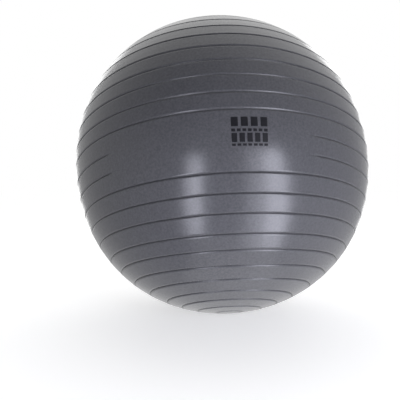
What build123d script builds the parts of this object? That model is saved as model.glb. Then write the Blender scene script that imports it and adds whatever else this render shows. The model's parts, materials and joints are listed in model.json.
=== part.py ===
"""Inflatable exercise ball, 65 cm, with ring grooves and a push-in valve.

Millimetres, +Z up.  The origin is the middle of the patch the ball stands on.
The ball's ring axis leans away from -Y, so the smooth panel on the -Y side
faces a little upwards.
"""
import math
import os

from build123d import *

os.makedirs("parts", exist_ok=True)

# ---- driving dimensions -------------------------------------------------
BALL_R = 325.0            # 650 mm ball, the nominal 65 cm
WALL = 0.8                # PVC shell
PATCH_R = 35.0            # flat the inflated ball makes on the floor

LEAN_BACK_DEG = 22.87     # ring axis leans away from -Y
LEAN_LEFT_DEG = 3.02      # and towards -X

GROOVE_DEPTH = 1.2
GROOVE_HALF_WIDTH = 1.6
RING_FIRST, RING_LAST = -5, 20        # ring numbers, counted downwards
RING_MID_DEG = -11.81                 # latitude half way between rings 8 and 9
RING_STEP_DEG = 6.329                 # ring spacing there
RING_BEND_DEG = 0.01705               # slow change of the spacing
RING_SPREAD_DEG = 0.003568            # spacing opens towards the poles

PANEL_RINGS = (8, 9)      # the two rings the smooth print panel interrupts
PANEL_MID_DEG = -5.6      # longitude, 0 at -Y, positive towards +X
PANEL_HALF_DEG = 36.0

VALVE_LON_DEG = PANEL_MID_DEG + 180.0
VALVE_LAT_DEG = RING_MID_DEG
VALVE_PAD_HALF_DEG = 4.6  # the rings stop this far short of the valve

SEAT_R = 15.0             # what shows in the skin's hole
FLANGE_R = 21.0           # welded under the skin
FLANGE_T = 1.6
HUB_R, HUB_DEPTH = 14.0, 4.2
STEM_R, STEM_DEPTH = 8.5, 24.0
RECESS_R, RECESS_DEPTH = 11.8, 2.4
PLUG_BORE_R, PLUG_BORE_END = 4.5, 13.0
PUMP_BORE_R = 4.0         # pump nozzle seat, from the plug bore's end inwards

HEAD_R, HEAD_TOP, HEAD_UNDER = 11.5, 0.2, 2.35
SHANK_R, SHANK_END = 4.45, 12.0
SHANK_GROOVE_R = 4.0


def ring_latitude(k):
    u = k - 8.5
    return RING_MID_DEG - RING_STEP_DEG * u + RING_BEND_DEG * u**2 - RING_SPREAD_DEG * u**3


def at(radius, lat_deg):
    a = math.radians(lat_deg)
    return radius * math.cos(a), radius * math.sin(a)


GROOVE_HALF_ANGLE = math.atan2(GROOVE_HALF_WIDTH, GROOVE_DEPTH)
RINGS = [ring_latitude(k) for k in range(RING_FIRST, RING_LAST + 1)]
OPEN_RINGS = [ring_latitude(k) for k in PANEL_RINGS]


def groove_points(inset, lat):
    """Lip, bottom, lip of one groove, in radius and height, for a wall inset from the skin."""
    radius = BALL_R - inset
    depth = GROOVE_DEPTH + (inset / math.sin(GROOVE_HALF_ANGLE) - inset if inset else 0.0)
    half = math.degrees(depth * math.tan(GROOVE_HALF_ANGLE) / radius)
    return at(radius, lat + half), at(radius - depth, lat), at(radius, lat - half), half


def turned(inset):
    """The ball turned from its profile, every full ring grooved, shrunk by inset."""
    radius = BALL_R - inset
    edges = []
    here, here_lat = (0.0, radius), 90.0
    for lat in RINGS:
        if lat in OPEN_RINGS:
            continue
        top, low, bottom, half = groove_points(inset, lat)
        mid = at(radius, (here_lat + lat + half) / 2)
        edges.append(ThreePointArc(here, mid, top))
        edges.append(Line(top, low))
        edges.append(Line(low, bottom))
        here, here_lat = bottom, lat - half
    mid = at(radius, (here_lat - 90.0) / 2)
    edges.append(ThreePointArc(here, mid, (0.0, -radius)))
    edges.append(Line((0.0, -radius), (0.0, radius)))
    face = Plane.XZ * make_face(edges)
    return revolve(face, Axis.Z, 360)


def open_groove(inset, lat, start_lon, stop_lon):
    """One length of an interrupted ring, as a solid to cut away."""
    radius = BALL_R - inset
    top, low, bottom, half = groove_points(inset, lat)
    out = 1.0
    face = make_face([
        Line(low, at(radius + out, lat + half * (1 + out / GROOVE_DEPTH))),
        Line(at(radius + out, lat + half * (1 + out / GROOVE_DEPTH)),
             at(radius + out, lat - half * (1 + out / GROOVE_DEPTH))),
        Line(at(radius + out, lat - half * (1 + out / GROOVE_DEPTH)), low),
    ])
    piece = revolve(Plane.XZ * face, Axis.Z, stop_lon - start_lon)
    # longitude 0 is -Y and grows towards +X, the turned face starts on +X
    return Rot(0, 0, start_lon - 90.0) * piece


def grooved(inset):
    ball = turned(inset)
    first = PANEL_MID_DEG + PANEL_HALF_DEG
    last = PANEL_MID_DEG + 360.0 - PANEL_HALF_DEG
    for lat in OPEN_RINGS:
        ball -= open_groove(inset, lat, first, VALVE_LON_DEG - VALVE_PAD_HALF_DEG)
        ball -= open_groove(inset, lat, VALVE_LON_DEG + VALVE_PAD_HALF_DEG, last)
    return ball


# ---- the row frame ------------------------------------------------------
CENTRE_Z = math.sqrt(BALL_R**2 - PATCH_R**2)
TO_ROW = Pos(0, 0, CENTRE_Z) * Rot(0, -LEAN_LEFT_DEG, 0) * Rot(-LEAN_BACK_DEG, 0, 0)


def above(shape, z):
    """Keep what lies above the height z."""
    size = 4 * BALL_R
    return shape & (Pos(0, 0, z + size / 2) * Box(size, size, size))


lon, lat = math.radians(VALVE_LON_DEG), math.radians(VALVE_LAT_DEG)
valve_out = Vector(math.cos(lat) * math.sin(lon), -math.cos(lat) * math.cos(lon), math.sin(lat))
VALVE = TO_ROW * Plane(origin=valve_out * BALL_R, x_dir=(0, 0, 1), z_dir=valve_out).location


def drum(radius, outer_depth, inner_depth):
    """A round bar on the valve's axis between two depths below the skin."""
    length = inner_depth - outer_depth
    return VALVE * Pos(0, 0, -(outer_depth + inner_depth) / 2) * Cylinder(radius, length)


def ball_of(radius):
    return TO_ROW * Sphere(radius)


# ---- skin ---------------------------------------------------------------
outside = above(TO_ROW * grooved(0.0), 0.0)
inside = above(TO_ROW * grooved(WALL), WALL)
ball_skin = outside - inside - drum(SEAT_R, -5, 8)
ball_skin.label = "ball_skin"
export_step(ball_skin, "parts/ball_skin.step")

# ---- valve seat ---------------------------------------------------------
face_disc = drum(SEAT_R, -5, 3) & ball_of(BALL_R)
flange = (drum(FLANGE_R, -5, 6) & ball_of(BALL_R - WALL)) - ball_of(BALL_R - WALL - FLANGE_T)
valve_seat = face_disc + flange + drum(HUB_R, 2.0, HUB_DEPTH) + drum(STEM_R, 3.0, STEM_DEPTH)
valve_seat -= drum(RECESS_R, -5, RECESS_DEPTH)
valve_seat -= drum(PLUG_BORE_R, -5, PLUG_BORE_END)
valve_seat -= drum(PUMP_BORE_R, -5, STEM_DEPTH + 5)
valve_seat.label = "valve_seat"
export_step(valve_seat, "parts/valve_seat.step")

# ---- valve plug ---------------------------------------------------------
valve_plug = drum(HEAD_R, HEAD_TOP, HEAD_UNDER) + drum(SHANK_R, HEAD_UNDER, SHANK_END)
for depth in (4.2, 6.6, 9.0):
    valve_plug -= drum(SHANK_R + 2, depth, depth + 1.0) - drum(SHANK_GROOVE_R, depth - 1, depth + 2)
# a nick in the rim, to lift the plug by
valve_plug -= VALVE * Pos(HEAD_R, 0, -HEAD_TOP - 1.3) * Box(3.0, 5.0, 1.4)
valve_plug.label = "valve_plug"
export_step(valve_plug, "parts/valve_plug.step")

for node in (ball_skin, valve_seat, valve_plug):
    b = node.bounding_box()
    print(node.label, "volume_cm3", round(node.volume / 1000, 2),
          "min", [round(v, 2) for v in (b.min.X, b.min.Y, b.min.Z)],
          "max", [round(v, 2) for v in (b.max.X, b.max.Y, b.max.Z)])
port = VALVE * Pos(0, 0, -(PLUG_BORE_END + STEM_DEPTH) / 2)
print("valve mouth", [round(v, 4) for v in VALVE.position],
      "out", [round(v, 6) for v in Plane(VALVE).z_dir],
      "pump port middle", [round(v, 4) for v in port.position])
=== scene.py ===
"""A 65 cm inflatable exercise ball: the ribbed shell, its printed block, the valve and its plug."""

import json
import math

import bmesh
import bpy
from mathutils import Matrix, Vector


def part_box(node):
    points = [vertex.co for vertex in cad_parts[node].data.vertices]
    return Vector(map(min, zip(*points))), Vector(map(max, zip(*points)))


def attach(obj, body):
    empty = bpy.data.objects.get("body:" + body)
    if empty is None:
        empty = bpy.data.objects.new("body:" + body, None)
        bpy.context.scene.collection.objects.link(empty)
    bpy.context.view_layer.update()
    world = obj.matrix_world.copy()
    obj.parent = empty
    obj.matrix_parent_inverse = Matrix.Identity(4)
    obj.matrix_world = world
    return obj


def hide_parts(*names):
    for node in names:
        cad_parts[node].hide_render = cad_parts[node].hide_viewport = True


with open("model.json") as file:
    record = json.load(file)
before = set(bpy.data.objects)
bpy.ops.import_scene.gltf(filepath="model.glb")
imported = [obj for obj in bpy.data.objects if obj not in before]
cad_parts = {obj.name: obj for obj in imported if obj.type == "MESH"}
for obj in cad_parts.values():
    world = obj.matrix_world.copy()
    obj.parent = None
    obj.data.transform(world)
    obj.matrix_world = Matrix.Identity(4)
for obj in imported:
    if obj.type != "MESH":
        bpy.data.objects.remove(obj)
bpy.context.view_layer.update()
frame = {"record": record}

# ---- camera -------------------------------------------------------------
# It stands 1.4 m in front of the ball, a little lower than the ball's top,
# looking slightly down, with the ball above and to the right of the middle.
# Its distance and shifts are counted in ball radii.
CAMERA_PITCH = math.radians(6.0)
CAMERA_DISTANCE = 4.3
CAMERA_ASIDE, CAMERA_DOWN = 0.1436, 0.2235
CAMERA_LENS, CAMERA_FILM = 56.06, 36.0
across = Vector((1.0, 0.0, 0.0))
upward = Vector((0.0, math.sin(CAMERA_PITCH), math.cos(CAMERA_PITCH)))
toward = Vector((0.0, -math.cos(CAMERA_PITCH), math.sin(CAMERA_PITCH)))

skin_low, skin_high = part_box("ball_skin")
BALL_R = (skin_high.x - skin_low.x) / 2
BALL_MIDDLE = Vector((0.0, 0.0, skin_high.z - BALL_R))

camera = bpy.data.objects.new("camera", bpy.data.cameras.new("camera"))
bpy.context.scene.collection.objects.link(camera)
camera.data.lens = CAMERA_LENS
camera.data.sensor_width = CAMERA_FILM
camera.data.clip_end = 50.0
camera.location = BALL_MIDDLE + BALL_R * (
    toward * CAMERA_DISTANCE - across * CAMERA_ASIDE - upward * CAMERA_DOWN
)
camera.rotation_euler = (math.radians(90) - CAMERA_PITCH, 0.0, 0.0)
bpy.context.scene.camera = camera

# ---- ball skin ----------------------------------------------------------
# One rotomoulded PVC shell, blown up tight.  Rings are moulded in all the way
# round, but two stop at the smooth print panel and at the valve's pad, where a
# round hole takes the valve seat.
MM = 0.001
LEAN_BACK = math.radians(22.87)
LEAN_LEFT = math.radians(3.02)
mould_to_row = Matrix.Rotation(-LEAN_LEFT, 3, "Y") @ Matrix.Rotation(-LEAN_BACK, 3, "X")
row_to_mould = mould_to_row.transposed()
ring_axis = mould_to_row @ Vector((0.0, 0.0, 1.0))

RING_FIRST, RING_LAST, RING_BETWEEN = -5, 20, 8.5
RING_MID, RING_STEP, RING_BEND, RING_SPREAD = -11.81, 6.329, 0.01705, 0.003568
RING_NUDGE = {2: 0.25, 4: -0.2, 7: 0.5, 13: -0.5}
PANEL_RINGS = (8, 9)
PANEL_MID, PANEL_HALF, PANEL_FADE = -5.6, 36.0, 1.0
PAD_HALF, PAD_FADE = 4.6, 0.6
LEFT_PULL, RIGHT_PULL = 0.02, 0.042
SIDE_FROM, SIDE_FULL = 10.0, 75.0
BACK_FROM, BACK_FULL = 110.0, 165.0
POLE_FROM, POLE_FULL = 50.0, 75.0
LOW_TIP, TIP_FROM, TIP_FULL = 2.5, 66.0, 80.0
TRUE_ROUND, FULLY_UNEVEN = 12.0, 45.0
ROW_STEP, ROW_CLEAR = 1.5, 1.3
GROOVE_DEPTH = 2.0 * MM
GROOVE_WIDTH = 1.5 * MM
LIP_RISE, LIP_OUT, LIP_WIDTH = 0.3 * MM, 2.6 * GROOVE_WIDTH, 1.2 * GROOVE_WIDTH
FLOOR_PRESS = 0.5 * MM
COLUMNS = 192

WALL = 0.8 * MM
WALL_UNDER_GROOVES = 3.2 * MM
INSIDE_STEP, INSIDE_COLUMNS = 5.0, 72
HOLE_R = 15.0 * MM
HOLE_SIDES = 64
SKIN_CUT, SKIN_EDGE = 20.0 * MM, 18.0 * MM
INSIDE_CUT, INSIDE_EDGE, FLANGE_CLEAR = 30.0 * MM, 26.0 * MM, 22.0 * MM

pump_port = next(m for m in frame["record"]["mounts"] if m["name"] == "pump_port")
valve_out = Vector(pump_port["axis"]).normalized()
valve_in_mould = row_to_mould @ valve_out
valve_lon = math.degrees(math.atan2(valve_in_mould.x, -valve_in_mould.y))
valve_turn = valve_out.to_track_quat("Z", "Y").to_matrix()


def smooth_step(low, high, x):
    """0 up to low, 1 from high, and a soft rise between them."""
    t = min(max((x - low) / (high - low), 0.0), 1.0)
    return t * t * (3 - 2 * t)


def low_tip(lat):
    """How far the lowest rings tip back about the across axis, in degrees."""
    return LOW_TIP * smooth_step(TIP_FROM, TIP_FULL, -lat)


def ring_latitude(k):
    """The latitude of a ring, numbered downwards, with RING_MID half way between 8 and 9."""
    u = k - RING_BETWEEN
    even = RING_MID - RING_STEP * u + RING_BEND * u**2 - RING_SPREAD * u**3
    return even + low_tip(even) + RING_NUDGE.get(k, 0.0)


rings = {k: ring_latitude(k) for k in range(RING_FIRST, RING_LAST + 1)}


def fullness(n):
    """How far the blown-up shell stands out in direction n, as a share of the radius."""
    along = n.dot(ring_axis)
    w = complex(n.dot(across), n.dot(upward))
    uneven = (
        -0.017 * (1.5 * along**2 - 0.5)
        + 0.024 * (2.5 * along**3 - 1.5 * along)
        - 0.027 * (w**2).real
        - 0.010 * (w**2).imag
        + 0.009 * (w**3).imag
        - 0.004 * (w**4).real
        - 0.002 * (w**4).imag
    )
    off_valve = math.degrees(n.angle(valve_out))
    return 1.0 + uneven * smooth_step(TRUE_ROUND, FULLY_UNEVEN, off_valve)


def lon_gap(a, b):
    """The angle between two longitudes, the short way round."""
    return abs((a - b + 180.0) % 360.0 - 180.0)


def groove_share(lat, lon):
    """How much of a ring's groove is there, from 0 to 1, and how far its line is, in metres."""
    k = min(rings, key=lambda r: abs(rings[r] - lat))
    share = 1.0
    if k in PANEL_RINGS:
        for middle, half, fade in (
            (PANEL_MID, PANEL_HALF, PANEL_FADE),
            (valve_lon, PAD_HALF, PAD_FADE),
        ):
            share *= smooth_step(half - fade, half + fade, lon_gap(lon, middle))
    return share, math.radians(abs(rings[k] - lat)) * BALL_R


def groove_sink(lat, lon):
    """How deep the skin dips at a latitude and longitude, with the lips beside each groove."""
    share, s = groove_share(lat, lon)
    dip = GROOVE_DEPTH / (1 + (s / GROOVE_WIDTH) ** 2) ** 2
    lip = LIP_RISE * math.exp(-(((s - LIP_OUT) / LIP_WIDTH) ** 2))
    return share * (dip - lip)


def skin_point(n, sink=0.0):
    """The point of the skin in direction n, pressed flat where it meets the floor."""
    p = BALL_MIDDLE + n * (BALL_R * fullness(n) - sink)
    p.z = 0.5 * (p.z + math.hypot(p.z, 2 * FLOOR_PRESS))
    return p


def mould_direction(lat, lon):
    """The direction of a latitude and longitude of the mould, once the ball stands in its place."""
    a, b = math.radians(lat), math.radians(lon)
    n = Vector((math.cos(a) * math.sin(b), -math.cos(a) * math.cos(b), math.sin(a)))
    return mould_to_row @ Matrix.Rotation(math.radians(low_tip(lat)), 3, "X") @ n


def stretch(lat, lon):
    """Rings creep towards the panel's height at the sides, where the shell stretched more."""
    pull = RIGHT_PULL * smooth_step(SIDE_FROM, SIDE_FULL, lon)
    pull += LEFT_PULL * smooth_step(SIDE_FROM, SIDE_FULL, -lon)
    pull *= 1.0 - smooth_step(BACK_FROM, BACK_FULL, abs(lon))
    pull *= 1.0 - smooth_step(POLE_FROM, POLE_FULL, abs(lat))
    return lat - (lat - rings[8]) * pull


def groove_rows():
    """Latitudes from pole to pole, close together at every groove and wide across each band."""
    across_groove = (-3.6, -2.4, -1.5, -0.8, -0.35, 0.0, 0.35, 0.8, 1.5, 2.4, 3.6)
    lines = sorted(rings.values())
    rows = [lat + math.degrees(o * GROOVE_WIDTH / BALL_R) for lat in lines for o in across_groove]
    edges = [-90.0] + lines + [90.0]
    for low, high in zip(edges, edges[1:]):
        n = max(2, round((high - low) / ROW_STEP))
        between = [low + (high - low) * i / n for i in range(1, n)]
        rows += [lat for lat in between if min(abs(lat - r) for r in lines) > ROW_CLEAR]
    return sorted(rows)


def spun_shell(latitudes, columns, inset):
    """Spin a half circle of latitudes about the mould's axis, then set each point in place."""
    bm = bmesh.new()
    in_line = bm.verts.layers.float.new("groove")
    line = [bm.verts.new((0, 0, -1))]
    for a in map(math.radians, latitudes):
        line.append(bm.verts.new((0, -math.cos(a), math.sin(a))))
    line += [bm.verts.new((0, 0, 1))]
    arc = [bm.edges.new(pair) for pair in zip(line, line[1:])]
    bmesh.ops.spin(
        bm, geom=line + arc, cent=(0, 0, 0), axis=(0, 0, 1), angle=math.tau, steps=columns,
        use_merge=True,
    )
    bmesh.ops.remove_doubles(bm, verts=bm.verts, dist=1e-5)
    bmesh.ops.recalc_face_normals(bm, faces=bm.faces)
    for v in bm.verts:
        lat = math.degrees(math.asin(max(-1.0, min(1.0, v.co.z))))
        lon = math.degrees(math.atan2(v.co.x, -v.co.y))
        share, s = groove_share(lat, lon)
        # the groove share, kept on each point; the material uses it for painted shade and extra
        # roughness in the grooves
        v[in_line] = share / (1 + (s / GROOVE_WIDTH) ** 2) ** 2
        v.co = skin_point(mould_direction(stretch(lat, lon), lon), inset(lat, lon))
    return bm


def off_valve_axis(p):
    """How far a point on the valve's side lies from the valve's axis."""
    d = p - BALL_MIDDLE
    along = d.dot(valve_out)
    return (d - valve_out * along).length if along > 0 else BALL_R


def draw_in(bm, radius, depth, ragged=False):
    """Close the shell in from its open edge, ragged or round, to a true circle round the valve."""
    edge = [e for e in bm.edges if e.is_boundary]
    middle = BALL_MIDDLE + valve_out * math.sqrt((BALL_R - depth) ** 2 - radius**2)
    bmesh.ops.create_circle(
        bm, cap_ends=False, segments=HOLE_SIDES, radius=radius,
        matrix=Matrix.Translation(middle) @ valve_turn.to_4x4(),
    )
    edge += [e for e in bm.edges if e.is_wire]
    if ragged:
        bmesh.ops.triangle_fill(
            bm, use_beauty=False, use_dissolve=False, edges=edge, normal=valve_out
        )
    else:
        bmesh.ops.bridge_loops(bm, edges=edge)


def open_at_valve(bm, reach):
    """Take away the faces that come near the valve's axis."""
    near = [f for f in bm.faces if any(off_valve_axis(v.co) < reach for v in f.verts)]
    bmesh.ops.delete(bm, geom=near, context="FACES")


inner = spun_shell(
    [a * INSIDE_STEP for a in range(-17, 18)], INSIDE_COLUMNS, lambda lat, lon: WALL_UNDER_GROOVES
)
open_at_valve(inner, INSIDE_CUT)
draw_in(inner, INSIDE_EDGE, WALL_UNDER_GROOVES, ragged=True)
draw_in(inner, FLANGE_CLEAR, WALL)
draw_in(inner, HOLE_R, WALL)
bmesh.ops.recalc_face_normals(inner, faces=inner.faces)
bmesh.ops.reverse_faces(inner, faces=inner.faces)
inner_mesh = bpy.data.meshes.new("ball_shell_inside")
inner.to_mesh(inner_mesh)
inner.free()

shell = spun_shell(groove_rows(), COLUMNS, groove_sink)
open_at_valve(shell, SKIN_CUT)
draw_in(shell, SKIN_EDGE, 0.0, ragged=True)
draw_in(shell, HOLE_R, 0.0)
shell.from_mesh(inner_mesh)
bmesh.ops.bridge_loops(shell, edges=[e for e in shell.edges if e.is_boundary])
bmesh.ops.recalc_face_normals(shell, faces=shell.faces)
bpy.data.meshes.remove(inner_mesh)


def finished(bm, name, material, body, smooth_under):
    """Turn a bmesh into a named piece, shaded smooth but for edges sharper than an angle."""
    for e in bm.edges:
        e.smooth = e.calc_face_angle(0.0) < math.radians(smooth_under)
    for f in bm.faces:
        f.smooth = True
    mesh = bpy.data.meshes.new(name)
    bm.to_mesh(mesh)
    bm.free()
    piece = bpy.data.objects.new(name, mesh)
    bpy.context.scene.collection.objects.link(piece)
    mesh.materials.append(material)
    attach(piece, body)
    return piece


def new_material(name):
    """An empty node material with its output node."""
    material = bpy.data.materials.new(name)
    material.use_nodes = True
    material.node_tree.nodes.clear()
    return material.node_tree, material


def node(tree, kind, sockets=None, **settings):
    """Add a shader node; each socket gets a plain value or another node's output."""
    made = tree.nodes.new("ShaderNode" + kind)
    for name, value in settings.items():
        setattr(made, name, value)
    for name, value in (sockets or {}).items():
        if isinstance(value, bpy.types.NodeSocket):
            tree.links.new(value, made.inputs[name])
        else:
            made.inputs[name].default_value = value
    return made


def ranged(tree, source, low, high, to_low, to_high, **settings):
    """A value stretched from one range to another."""
    sockets = {
        "Value": source, "From Min": low, "From Max": high, "To Min": to_low, "To Max": to_high,
    }
    return node(tree, "MapRange", sockets, **settings).outputs["Result"]


def mixed(tree, share, a, b):
    """Two colours mixed by a share."""
    return node(tree, "Mix", {0: share, 6: a, 7: b}, data_type="RGBA").outputs[2]


def noise(tree, scale, detail):
    """A cloudy pattern that keeps its place on the piece."""
    where = node(tree, "TexCoord").outputs["Object"]
    return node(tree, "TexNoise", {"Vector": where, "Scale": scale, "Detail": detail}).outputs[0]


def added(tree, a, b):
    """Two values added."""
    return node(tree, "Math", {0: a, 1: b}, operation="ADD").outputs[0]


tree, pearl = new_material("pearl_grey_vinyl")
cloud = noise(tree, 7.0, 3.0)
mottle = noise(tree, 70.0, 2.0)
pearl_fleck = noise(tree, 260.0, 2.0)
grain = noise(tree, 900.0, 2.0)
# groove mask: it darkens the tone as painted shade in the recesses and makes the grooves rougher
groove_shade_and_gloss = ranged(
    tree, node(tree, "Attribute", attribute_name="groove").outputs["Fac"],
    0.12, 0.55, 0.0, 1.0, interpolation_type="SMOOTHSTEP",
)

tone = mixed(tree, cloud, (0.076, 0.077, 0.084, 1), (0.089, 0.089, 0.096, 1))
tone = mixed(tree, ranged(tree, mottle, 0.3, 0.7, 0.0, 0.35), tone, (0.097, 0.097, 0.103, 1))
flecks = ranged(tree, pearl_fleck, 0.3, 0.7, 0.0, 1.0)
flecked = mixed(tree, flecks, (0.060, 0.061, 0.067, 1), (0.110, 0.110, 0.118, 1))
tone = mixed(tree, 0.5, tone, flecked)
tone = mixed(tree, ranged(tree, grain, 0.62, 0.78, 0.0, 0.30), tone, (0.20, 0.20, 0.22, 1))
# painted shade: the tone darkens inside each groove, where shade falls in the narrow recess
tone = mixed(tree, ranged(tree, groove_shade_and_gloss, 0.0, 1.0, 0.0, 0.52), tone, (0.015, 0.015, 0.018, 1))
gloss = ranged(tree, cloud, 0.3, 0.7, 0.19, 0.25)
gloss = added(tree, gloss, ranged(tree, mottle, 0.3, 0.7, -0.01, 0.02))
gloss = added(tree, gloss, ranged(tree, groove_shade_and_gloss, 0.0, 1.0, 0.0, 0.15))
relief = node(tree, "Bump", {"Strength": 0.12, "Distance": 0.4 * MM, "Height": grain})
relief = node(
    tree, "Bump",
    {
        "Strength": 0.06, "Distance": 0.4 * MM, "Height": pearl_fleck,
        "Normal": relief.outputs["Normal"],
    },
)
vinyl = node(
    tree, "BsdfPrincipled",
    {"Base Color": tone, "Roughness": gloss, "IOR": 1.5, "Normal": relief.outputs["Normal"]},
)
node(tree, "OutputMaterial", {"Surface": vinyl.outputs["BSDF"]})

skin = finished(shell, "ball_shell", pearl, "ball", smooth_under=84.0)
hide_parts("ball_skin")

# ---- printed block ------------------------------------------------------
# A block of black ink, screen printed on the smooth panel before the ball is
# packed.  It is plain bars: two tall rows with a thin row under each.
PRINT_LON = (2.0, 13.3)
PRINT_LAT = (-13.5, -4.5)
INK_OVER = 0.28 * MM
INK_THICK = 0.16 * MM
BAR_CORNER = 0.12
PRINT_ROWS = (
    # top and bottom as shares of the block's height, bars across, gap as a share of a bar's pitch
    (1.00, 0.67, 4, 0.30),
    (0.59, 0.49, 7, 0.30),
    (0.44, 0.13, 5, 0.30),
    (0.08, 0.00, 7, 0.30),
)
ink = bmesh.new()
block_height = PRINT_LAT[1] - PRINT_LAT[0]
for top, bottom, bars, gap in PRINT_ROWS:
    lat_high, lat_low = (PRINT_LAT[0] + share * block_height for share in (top, bottom))
    pitch = (PRINT_LON[1] - PRINT_LON[0]) / (bars - gap)
    for bar in range(bars):
        left = PRINT_LON[0] + bar * pitch
        width, tall = pitch * (1 - gap), lat_high - lat_low
        place = Matrix.Translation((left + width / 2, (lat_high + lat_low) / 2, 0.0))
        made = bmesh.ops.create_grid(
            ink, x_segments=4, y_segments=2, size=0.5,
            matrix=place @ Matrix.Diagonal((width, tall, 1, 1)),
        )["verts"]
        corners = [v for v in made if len(v.link_faces) == 1]
        bmesh.ops.bevel(
            ink, geom=corners, affect="VERTICES", offset=BAR_CORNER, offset_type="OFFSET",
            segments=3, profile=0.5, material=-1,
        )
for v in ink.verts:
    v.co = skin_point(mould_direction(v.co.y, v.co.x), -INK_OVER)
bmesh.ops.recalc_face_normals(ink, faces=ink.faces)
facing = mould_direction(sum(PRINT_LAT) / 2, sum(PRINT_LON) / 2)
ink.normal_update()
bmesh.ops.reverse_faces(ink, faces=[f for f in ink.faces if f.normal.dot(facing) < 0])
bmesh.ops.solidify(ink, geom=ink.faces[:], thickness=INK_THICK)
bmesh.ops.recalc_face_normals(ink, faces=ink.faces)

tree, ink_black = new_material("screen_ink_black")
patchy = noise(tree, 260.0, 3.0)
inked = mixed(tree, patchy, (0.007, 0.007, 0.009, 1), (0.015, 0.015, 0.018, 1))
ink_gloss = ranged(tree, patchy, 0.3, 0.7, 0.34, 0.46)
ink_relief = node(tree, "Bump", {"Strength": 0.1, "Distance": 0.1 * MM, "Height": patchy})
ink_coat = node(
    tree, "BsdfPrincipled",
    {
        "Base Color": inked, "Roughness": ink_gloss, "Specular IOR Level": 0.25,
        "Normal": ink_relief.outputs["Normal"],
    },
)
node(tree, "OutputMaterial", {"Surface": ink_coat.outputs["BSDF"]})
finished(ink, "print_ink", ink_black, "ball", smooth_under=40.0)

# ---- valve seat ---------------------------------------------------------
# A soft PVC moulding welded into the skin's hole by a flange under the skin.
# A bead rings the recess for the plug's head, and the bore runs down its stem.
valve_mouth = BALL_MIDDLE + valve_out * BALL_R
valve_place = Matrix.Translation(valve_mouth) @ valve_turn.to_4x4()
TURN_STEPS = 96
CORNER_OVER = math.radians(35)
SEAT_CORNER = 0.22


def turned_piece(profile, closed, round_off):
    """Turn radius and depth points, in millimetres, about the valve's axis; round the corners."""
    bm = bmesh.new()
    line = [bm.verts.new((radius * MM, 0, -depth * MM)) for radius, depth in profile]
    edges = [bm.edges.new(pair) for pair in zip(line, line[1:])]
    if closed:
        edges.append(bm.edges.new((line[-1], line[0])))
    bmesh.ops.spin(
        bm, geom=line + edges, cent=(0, 0, 0), axis=(0, 0, 1), angle=math.tau, steps=TURN_STEPS,
        use_merge=True,
    )
    bmesh.ops.remove_doubles(bm, verts=bm.verts, dist=1e-6)
    bmesh.ops.recalc_face_normals(bm, faces=bm.faces)
    sharp = [e for e in bm.edges if e.calc_face_angle(0.0) > CORNER_OVER]
    bmesh.ops.bevel(
        bm, geom=sharp, affect="EDGES", offset=round_off * MM, offset_type="OFFSET", segments=3,
        profile=0.5, material=-1, clamp_overlap=True,
    )
    return bm


seat_profile = [
    (14.95, 1.05), (14.95, 0.40), (13.40, 0.30), (13.05, -0.25), (12.25, -0.25), (11.80, 0.20),
    (11.80, 2.40), (5.10, 2.40), (4.50, 3.00), (4.50, 13.00), (4.00, 13.00), (4.00, 24.00),
    (8.50, 24.00), (8.50, 4.20), (14.00, 4.20), (14.00, 2.75), (21.00, 3.10), (21.00, 1.55),
]
seat_bm = turned_piece(seat_profile, True, SEAT_CORNER)
bmesh.ops.transform(seat_bm, matrix=valve_place, verts=seat_bm.verts)
bmesh.ops.recalc_face_normals(seat_bm, faces=seat_bm.faces)

tree, seat_grey = new_material("valve_grey_vinyl")
swirl = noise(tree, 120.0, 3.0)
pores = noise(tree, 1500.0, 2.0)
seat_tone = mixed(tree, swirl, (0.058, 0.060, 0.070, 1), (0.074, 0.076, 0.088, 1))
seat_gloss = ranged(tree, swirl, 0.3, 0.7, 0.32, 0.44)
seat_relief = node(tree, "Bump", {"Strength": 0.15, "Distance": 0.2 * MM, "Height": pores})
seat_vinyl = node(
    tree, "BsdfPrincipled",
    {"Base Color": seat_tone, "Roughness": seat_gloss, "Normal": seat_relief.outputs["Normal"]},
)
node(tree, "OutputMaterial", {"Surface": seat_vinyl.outputs["BSDF"]})
seat = finished(
    seat_bm, "valve_seat_moulding", seat_grey, "ball", smooth_under=50.0
)
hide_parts("valve_seat")

# ---- valve plug ---------------------------------------------------------
# A white plastic stopper: a dished head with a nick to lift it by, and a
# ringed shank that grips the seat's bore.  It pulls straight out.
PLUG_CORNER = 0.16
HEAD_BELOW = 2.4 * MM
NICK_HALF, NICK_DEEP = 3.4 * MM, 1.3 * MM
NICK_FROM, NICK_FULL = 9.0 * MM, 10.6 * MM
plug_profile = [
    (0.0, 1.00), (1.2, 1.00), (1.6, 0.85), (7.6, 0.85), (8.6, 0.20), (11.5, 0.20),
    (11.5, 2.35), (4.45, 2.35), (4.45, 4.20), (4.0, 4.20), (4.0, 5.20), (4.45, 5.20),
    (4.45, 6.60), (4.0, 6.60), (4.0, 7.60), (4.45, 7.60), (4.45, 9.00), (4.0, 9.00),
    (4.0, 10.00), (4.45, 10.00), (4.45, 11.20), (3.7, 12.00), (0.0, 12.00),
]
plug_bm = turned_piece(plug_profile, False, PLUG_CORNER)
for v in plug_bm.verts:
    r = math.hypot(v.co.x, v.co.y)
    if r > NICK_FROM and v.co.x > 0 and v.co.z > -HEAD_BELOW:
        dent = 1 - smooth_step(NICK_HALF * 0.3, NICK_HALF, abs(v.co.y))
        dent *= smooth_step(NICK_FROM, NICK_FULL, r)
        v.co.x -= NICK_DEEP * dent
bmesh.ops.transform(plug_bm, matrix=valve_place, verts=plug_bm.verts)
bmesh.ops.recalc_face_normals(plug_bm, faces=plug_bm.faces)

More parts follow.
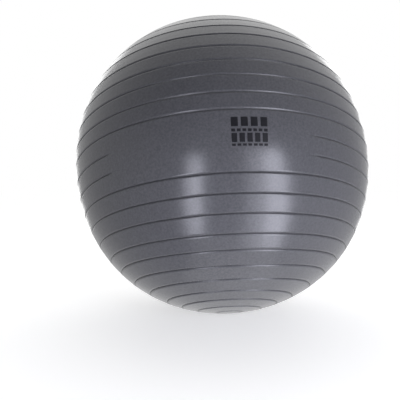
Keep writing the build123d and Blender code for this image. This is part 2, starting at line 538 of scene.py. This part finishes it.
tree, plug_white = new_material("plug_white_plastic")
flow = noise(tree, 180.0, 2.0)
plug_grain = noise(tree, 2200.0, 2.0)
plug_tone = mixed(tree, flow, (0.74, 0.74, 0.72, 1), (0.80, 0.80, 0.79, 1))
plug_gloss = ranged(tree, flow, 0.3, 0.7, 0.34, 0.46)
plug_relief = node(tree, "Bump", {"Strength": 0.1, "Distance": 0.1 * MM, "Height": plug_grain})
plug_plastic = node(
    tree, "BsdfPrincipled",
    {"Base Color": plug_tone, "Roughness": plug_gloss, "Normal": plug_relief.outputs["Normal"]},
)
node(tree, "OutputMaterial", {"Surface": plug_plastic.outputs["BSDF"]})
stopper = finished(
    plug_bm, "valve_stopper", plug_white, "plug", smooth_under=50.0
)
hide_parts("valve_plug")

# ---- lights and floor ---------------------------------------------------
# A pale studio: a soft glow from the white walls, two tall soft panels in front
# of the ball with a second one over each, a weak broad one low between them,
# and two behind it.
GLOW_SPREAD = 3.0
glows = (
    # across, upward, toward, strength
    (0, -1, -1, 0.9),
    (0, 1, -1, 1.3),
    (-1, 0, 0, 0.5),
    (-1, 0, -1, 0.2),
    (1, 0, -1, 0.25),
    (1, -1, 0, 0.5),
    (1, 1, 0, 0.35),
    (0, 0, 1, 0.15),
)
world = bpy.data.worlds.new("room")
world.use_nodes = True
bpy.context.scene.world = world
room = world.node_tree.nodes["Background"]
room.inputs["Color"].default_value = (1.0, 1.0, 1.0, 1)
facing_room = node(world.node_tree, "TexCoord").outputs["Generated"]
total = None
for a, u, t, strength in glows:
    lobe = (across * a + upward * u + toward * t).normalized()
    lit = node(world.node_tree, "VectorMath", {0: facing_room, 1: lobe}, operation="DOT_PRODUCT")
    lit = lit.outputs["Value"]
    for step, by in (("MAXIMUM", 0.0), ("POWER", GLOW_SPREAD), ("MULTIPLY", strength)):
        lit = node(world.node_tree, "Math", {0: lit, 1: by}, operation=step).outputs[0]
    total = lit if total is None else added(world.node_tree, lit, total)
world.node_tree.links.new(total, room.inputs["Strength"])


def softbox(name, low, high, width, radiance, tint=(1.0, 1.0, 1.0)):
    """A soft panel between two ends, in metres across, upward and toward from the ball's middle."""
    low, high = (BALL_MIDDLE + across * p[0] + upward * p[1] + toward * p[2] for p in (low, high))
    long_way = (high - low).normalized()
    middle = (low + high) / 2
    away = middle - BALL_MIDDLE
    away = (away - long_way * away.dot(long_way)).normalized()
    lamp = bpy.data.lights.new(name, "AREA")
    lamp.shape = "RECTANGLE"
    lamp.size, lamp.size_y = width, (high - low).length
    lamp.energy = radiance * math.pi * lamp.size * lamp.size_y
    lamp.color = tint
    panel = bpy.data.objects.new(name, lamp)
    bpy.context.scene.collection.objects.link(panel)
    facing = Matrix((long_way.cross(away), long_way, away)).transposed()
    panel.matrix_world = Matrix.Translation(middle) @ facing.to_4x4()
    panel.visible_camera = False


COOL = (0.98, 0.99, 1.13)
softbox("left_panel", (-0.55, -1.40, 1.10), (-0.60, 0.20, 1.80), 0.35, 4.0, COOL)
softbox("left_core", (-0.50, -1.30, 1.20), (-0.55, 0.00, 1.80), 0.20, 3.2, COOL)
softbox("right_panel", (0.90, -1.50, 0.80), (1.00, 0.30, 1.65), 0.45, 4.8, COOL)
softbox("right_wide", (0.75, -1.60, 0.85), (0.85, 0.40, 1.80), 0.80, 2.4, COOL)
softbox("back_left", (-0.95, -0.35, -1.75), (-0.95, 1.25, -1.75), 0.40, 1.9)
softbox("back_right", (0.95, -0.35, -1.75), (0.95, 1.25, -1.75), 0.40, 1.9)
softbox("front_low", (0.15, -1.70, -0.20), (0.15, -1.45, 1.05), 1.40, 0.55)

# the cove: a white floor that runs up into white walls, lit evenly further out
COVE_R, COVE_H = 9.0, 7.0
COVE_ROUND, COVE_BENDS, COVE_STEPS = 2.5, 8, 64
COVE_TOP = COVE_H + 1
FLOOR_GLOW = 0.52
WASH_FROM, WASH_FULL = 0.5, 3.0
cove_bm = bmesh.new()
cove_line = [cove_bm.verts.new((0, 0, 0)), cove_bm.verts.new((COVE_R - COVE_ROUND, 0, 0))]
for i in range(1, COVE_BENDS + 1):
    bend = math.radians(90) * i / COVE_BENDS
    cove_line.append(
        cove_bm.verts.new(
            (COVE_R - COVE_ROUND * (1 - math.sin(bend)), 0, COVE_ROUND * (1 - math.cos(bend)))
        )
    )
cove_line += [cove_bm.verts.new((COVE_R, 0, COVE_H)), cove_bm.verts.new((0, 0, COVE_TOP))]
cove_edges = [cove_bm.edges.new(pair) for pair in zip(cove_line, cove_line[1:])]
bmesh.ops.spin(
    cove_bm, geom=cove_line + cove_edges, cent=(0, 0, 0), axis=(0, 0, 1), angle=math.tau,
    steps=COVE_STEPS, use_merge=True,
)
bmesh.ops.remove_doubles(cove_bm, verts=cove_bm.verts, dist=1e-5)
cove_mesh = bpy.data.meshes.new("white_cove")
cove_bm.to_mesh(cove_mesh)
cove_bm.free()
cove = bpy.data.objects.new("white_cove", cove_mesh)
bpy.context.scene.collection.objects.link(cove)
tree, cove_white = new_material("cove_white")
floor_spot = node(tree, "TexCoord").outputs["Object"]
from_ball = node(tree, "VectorMath", {0: floor_spot}, operation="LENGTH").outputs["Value"]
far_out = ranged(
    tree, from_ball, WASH_FROM, WASH_FULL, 0.0, 1.0, interpolation_type="SMOOTHSTEP"
)
painted = node(
    tree, "BsdfPrincipled",
    {
        "Base Color": (0.9, 0.9, 0.9, 1), "Roughness": 0.9,
        "Emission Color": (1, 1, 1, 1), "Emission Strength": FLOOR_GLOW,
    },
)
washed = node(tree, "Emission", {"Color": (1, 1, 1, 1), "Strength": 1.0})
blended = node(
    tree, "MixShader",
    {0: far_out, 1: painted.outputs["BSDF"], 2: washed.outputs["Emission"]},
)
node(tree, "OutputMaterial", {"Surface": blended.outputs["Shader"]})
cove_mesh.materials.append(cove_white)
cove.visible_diffuse = False
cove.visible_glossy = False
cove.visible_transmission = False
cove.visible_shadow = False

bpy.context.scene.view_settings.view_transform = "Standard"
